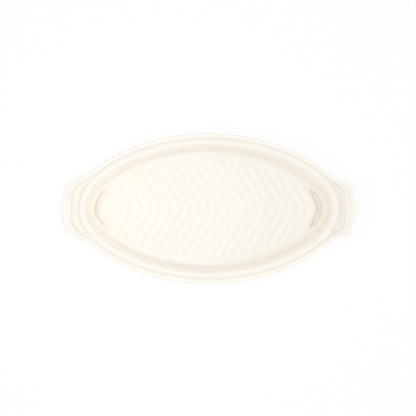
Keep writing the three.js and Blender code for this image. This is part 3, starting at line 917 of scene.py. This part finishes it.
def underside_glaze_piece(columns, material):
    """The glaze on the base inside the foot ring, drawn up a little against the ring."""
    reach = foot_reaches(columns.angle)[1]
    stations = [
        at(outside(columns.angle, reach - set_in), FOOT_HEIGHT - drop) for set_in, drop in UNDERSIDE_EDGE
    ]
    flat = stations[-1]
    stations += [flat * [share, share, 1] for share in UNDERSIDE_SHARES]
    rings = spline(stations, SPLINE_STEPS)
    index = ring_index(0, len(rings), len(flat))
    middle = len(rings) * len(flat)
    fan = [(b, a, middle) for a, b in zip(index[-1].tolist(), index[-1, 1:].tolist())]
    vertices = np.concatenate([rings.reshape(-1, 3), [[0, 0, FOOT_HEIGHT]]])
    vertices, faces = coat(vertices, grid_faces(index) + fan)
    no_buff_or_shade = np.zeros(len(vertices))
    piece("underside_glaze_coat", vertices, faces, material, "underside_glaze", no_buff_or_shade)


def foot_rings(columns):
    """Foot ring with softened edges, and the clay of the base inside it."""
    outer, inner = foot_reaches(columns.angle)
    base = FOOT_HEIGHT + CLAY_SINK
    face = [(0, base), (FOOT_DRAFT, base / 2), *FOOT_EDGE]
    profile = [(outer - set_in, height) for set_in, height in face]
    profile.append(((outer + inner) / 2, 0))
    profile += [(inner + set_in, height) for set_in, height in reversed(face)]
    stations = [at(outside(columns.angle, reach), height) for reach, height in profile]
    return spline(stations, FOOT_SPLINE_STEPS)


def clay_pieces(inside, material):
    """Body and two handles of clay under the glaze; each handle stops short of its seat on the rim."""
    section = Section(inside.columns, inside.field_reach, CLAY_NOTCH_WIDTH)
    surface, index = inside.surface(section.rings)
    surface = surface - vertex_normals(surface, inside.floor_faces + grid_faces(index)) * CLAY_SINK
    foot = foot_rings(inside.columns)
    index = np.concatenate([index, ring_index(len(surface), len(foot), inside.count)])
    surface = np.concatenate([surface, foot.reshape(-1, 3)])

    # Columns start on the -Y side, so that neither handle is split
    order = np.roll(np.arange(inside.count), inside.count // 4)
    index = index[:, np.append(order, order[0])]
    angle = inside.crest_angle[order]
    rows = index[section.rim_start : section.rim_end + 1]
    faces = inside.floor_faces + grid_faces(index[: section.rim_start + 1])
    faces += grid_faces(index[section.rim_end :])
    flat_base = tuple(index[-1, :0:-1].tolist())
    faces.append(flat_base)

    start = 0
    for node, side in (("right_handle", 1), ("left_handle", -1)):
        seated = (np.cos(angle) * side > 0) & (np.abs(np.sin(angle)) < math.sin(HANDLE_SEAT_END))
        first, last = np.flatnonzero(seated)[[0, -1]]
        faces += grid_faces(rows[:, start : first + 1]) + grid_faces(rows[[0, -1], first : last + 1])
        faces += [tuple(rows[:, first].tolist()), tuple(rows[::-1, last].tolist())]
        start = last
        handle_piece(node, surface[rows[:, first : last + 1]], material)
    faces += grid_faces(rows[:, start:])
    piece("stoneware_body_clay", surface, faces, material, "stoneware_body")


def handle_piece(node, grid, material):
    """A handle of clay from a grid of its outer points, drawn back a little from its seat all round."""
    grid[0] = between(grid[0], grid[1], SEAT_GAP)
    grid[-1] = between(grid[-1], grid[-2], SEAT_GAP)
    grid[:, 0] = between(grid[:, 0], grid[:, 1], SEAT_GAP)
    grid[:, -1] = between(grid[:, -1], grid[:, -2], SEAT_GAP)
    index = np.arange(grid.shape[0] * grid.shape[1]).reshape(grid.shape[:2])
    faces = grid_faces(index) + [face[::-1] for face in grid_faces(index[[0, -1]])]
    faces += [tuple(index[::-1, 0].tolist()), tuple(index[:, -1].tolist())]
    piece(f"{node}_clay", grid.reshape(-1, 3), faces, material, node)


def dish():
    """All pieces of the dish and their materials."""
    inside_glaze = glaze_material("inside_glaze")
    outside_glaze = glaze_material("outside_glaze")
    bare_clay = clay_material("bare_clay")
    inside = Inside()
    outside_columns = Columns(even_columns())
    inside_glaze_piece(inside, inside_glaze)
    outside_glaze_piece(outside_columns, outside_glaze)
    underside_glaze_piece(outside_columns, outside_glaze)
    clay_pieces(inside, bare_clay)


# Stage

def paper_floor():
    """A sheet of paper just under the dish."""
    reach = PAPER_SIZE / 2
    corners = ((-reach, -reach), (reach, -reach), (reach, reach), (-reach, reach))
    mesh = bpy.data.meshes.new("floor")
    mesh.from_pydata([(x, y, -PAPER_DROP) for x, y in corners], [], [(0, 1, 2, 3)])
    mesh.materials.append(paper_material("paper"))
    floor = linked("floor", mesh)


def studio_sky():
    """Even white light all round, and a white backdrop where the camera looks past the floor."""
    world = bpy.data.worlds.new("studio")
    world.use_nodes = True
    nodes, links = world.node_tree.nodes, world.node_tree.links
    sky = nodes["Background"]
    sky.inputs["Color"].default_value = (1, 1, 1, 1)
    ray = nodes.new("ShaderNodeLightPath").outputs["Is Camera Ray"]
    level = nodes.new("ShaderNodeMapRange")
    level.inputs["To Min"].default_value = SKY_LIGHT
    level.inputs["To Max"].default_value = BACKDROP_LIGHT
    links.new(ray, level.inputs["Value"])
    links.new(level.outputs["Result"], sky.inputs["Strength"])
    bpy.context.scene.world = world


def softbox(name, place, width, power):
    """A square lamp that lights the dish but is not mirrored in its glaze."""
    lamp = bpy.data.lights.new(name, "AREA")
    lamp.shape = "SQUARE"
    lamp.size = width
    lamp.energy = power
    made = linked(name, lamp)
    made.visible_glossy = False
    made.location = place
    aim = np.array(LAMP_TARGET) - np.array(place)
    made.rotation_euler = (
        math.atan2(math.hypot(aim[0], aim[1]), -aim[2]),
        0,
        math.atan2(aim[0], -aim[1]) + math.pi,
    )


def overhead_camera():
    """A camera straight above the dish."""
    data = bpy.data.cameras.new("camera")
    data.sensor_width = SENSOR_WIDTH
    data.lens = SENSOR_WIDTH * CAMERA_DISTANCE / VIEW_WIDTH
    camera = linked("camera", data)
    camera.location = (*CAMERA_OFFSET, DISH_HEIGHT * MM + CAMERA_DISTANCE)
    bpy.context.scene.camera = camera


dish()
paper_floor()
studio_sky()
softbox("overhead", OVERHEAD_PLACE, OVERHEAD_SIZE, OVERHEAD_POWER)
softbox("fill", FILL_PLACE, FILL_SIZE, FILL_POWER)
overhead_camera()
bpy.context.scene.view_settings.view_transform = "Standard"
